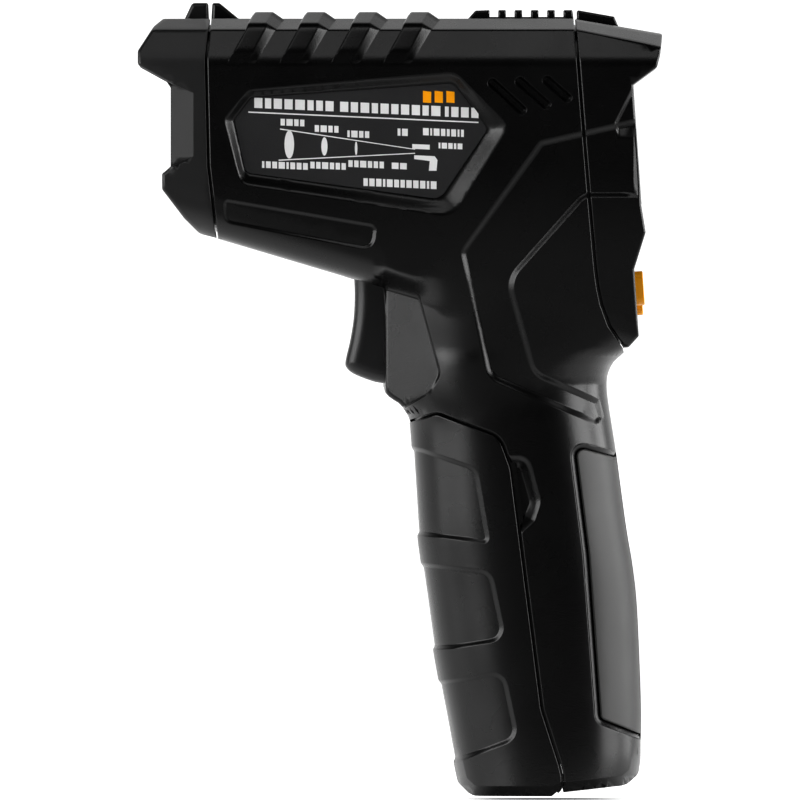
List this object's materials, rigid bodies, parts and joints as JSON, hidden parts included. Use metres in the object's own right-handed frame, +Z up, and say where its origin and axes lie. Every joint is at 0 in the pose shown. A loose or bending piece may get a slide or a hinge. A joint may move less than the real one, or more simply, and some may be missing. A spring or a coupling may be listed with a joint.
{
  "type": "infrared thermometer",
  "caption": "Pistol-grip infrared thermometer with a trigger, a rear display with keys, and a battery door that opens at the front of the grip.",
  "frame": {"origin": "the middle of the grip, half way between front and back and between the two housing halves", "axes": "+Z up, from the foot of the grip to the top of the head; -X is the way the sensor points; -Y is the left side"},
  "size_m": [0.1078, 0.045, 0.1631],
  "materials": {
    "black_plastic": "satin moulded plastic, fine grain",
    "nose_plastic": "satin moulded plastic",
    "front_plate": "smooth dark plate",
    "lens_ring": "black anodised",
    "lens": "coated infrared lens",
    "sensor_brass": "turned",
    "metal_can": "nickel plated",
    "red_window": "clear red",
    "window": "smoked clear plastic",
    "white_plastic": "moulded",
    "lcd": "glass panel",
    "polyimide": "flexible circuit",
    "rubber": "soft moulded panel",
    "silicone": "moulded silicone",
    "yellow_key": "moulded yellow plastic",
    "circuit_board": "soldermask",
    "component": "moulded package",
    "trigger_plastic": "satin moulded plastic",
    "steel": "polished",
    "red_plastic": "moulded",
    "wire": "insulated wire",
    "foam": "foam",
    "cell_wrap": "printed sleeve",
    "label": "printed film"
  },
  "bodies": {
    "housing": {"left_housing": "black_plastic", "right_housing": "black_plastic", "nose_bezel": "nose_plastic", "nose_plate": "front_plate", "lens_ring": "lens_ring", "ir_lens": "lens", "sensor_barrel": "sensor_brass", "thermopile": "metal_can", "laser_module": "sensor_brass", "laser_window": "red_window", "rear_cover": "nose_plastic", "display_window": "window", "display_bezel": "white_plastic", "lcd_panel": "lcd", "lcd_flex": "polyimide", "keypad_mat": "silicone", "main_board": "circuit_board", "key_switches": "component", "board_chips": "component", "buzzer": "component", "sensor_leads": "wire", "laser_leads": "wire", "trigger_pin": "steel", "trigger_spring": "steel", "trigger_switch": "component", "switch_leads": "wire", "door_pin": "steel", "battery_tray": "component", "battery_cells": "cell_wrap", "spring_contacts": "steel", "plate_contacts": "steel", "battery_leads": "wire", "grip_insert": "rubber", "left_label": "label", "right_label": "label", "housing_screws": "steel"},
    "trigger": {"trigger": "trigger_plastic"},
    "switch_plunger": {"switch_plunger": "red_plastic"},
    "battery_door": {"battery_door": "black_plastic", "door_pad": "foam"},
    "left_key": {"left_key": "yellow_key"},
    "right_key": {"right_key": "yellow_key"},
    "mode_key": {"mode_key": "yellow_key"}
  },
  "joints": [
    {"name": "trigger_pivot", "type": "hinge", "parent": "housing", "child": "trigger", "pos_m": [-0.0326, 0, 0.071], "axis": [0, -1, 0], "range_deg": [0, 7], "stiffness_Nm_per_rad": 0.2, "springref_deg": -5.73, "deforming": ["trigger_spring"]},
    {"name": "plunger_slide", "type": "slide", "parent": "housing", "child": "switch_plunger", "axis": [1, 0, 0], "range_m": [0, 0.0023]},
    {"name": "battery_door_hinge", "type": "hinge", "parent": "housing", "child": "battery_door", "pos_m": [0.0034, 0, -0.0373], "axis": [0, -1, 0], "range_deg": [0, 80]},
    {"name": "left_key_press", "type": "slide", "parent": "housing", "child": "left_key", "axis": [-0.9977, 0, -0.068], "range_m": [0, 0.0006], "stiffness_N_per_m": 700, "springref_m": -0.0005},
    {"name": "right_key_press", "type": "slide", "parent": "housing", "child": "right_key", "axis": [-0.9977, 0, -0.068], "range_m": [0, 0.0006], "stiffness_N_per_m": 700, "springref_m": -0.0005},
    {"name": "mode_key_press", "type": "slide", "parent": "housing", "child": "mode_key", "axis": [-0.9977, 0, -0.068], "range_m": [0, 0.0006], "stiffness_N_per_m": 700, "springref_m": -0.0005}
  ],
  "couplings": [
    {"joint": "plunger_slide", "follows": "trigger_pivot", "m_per_rad": 0.018}
  ]
}
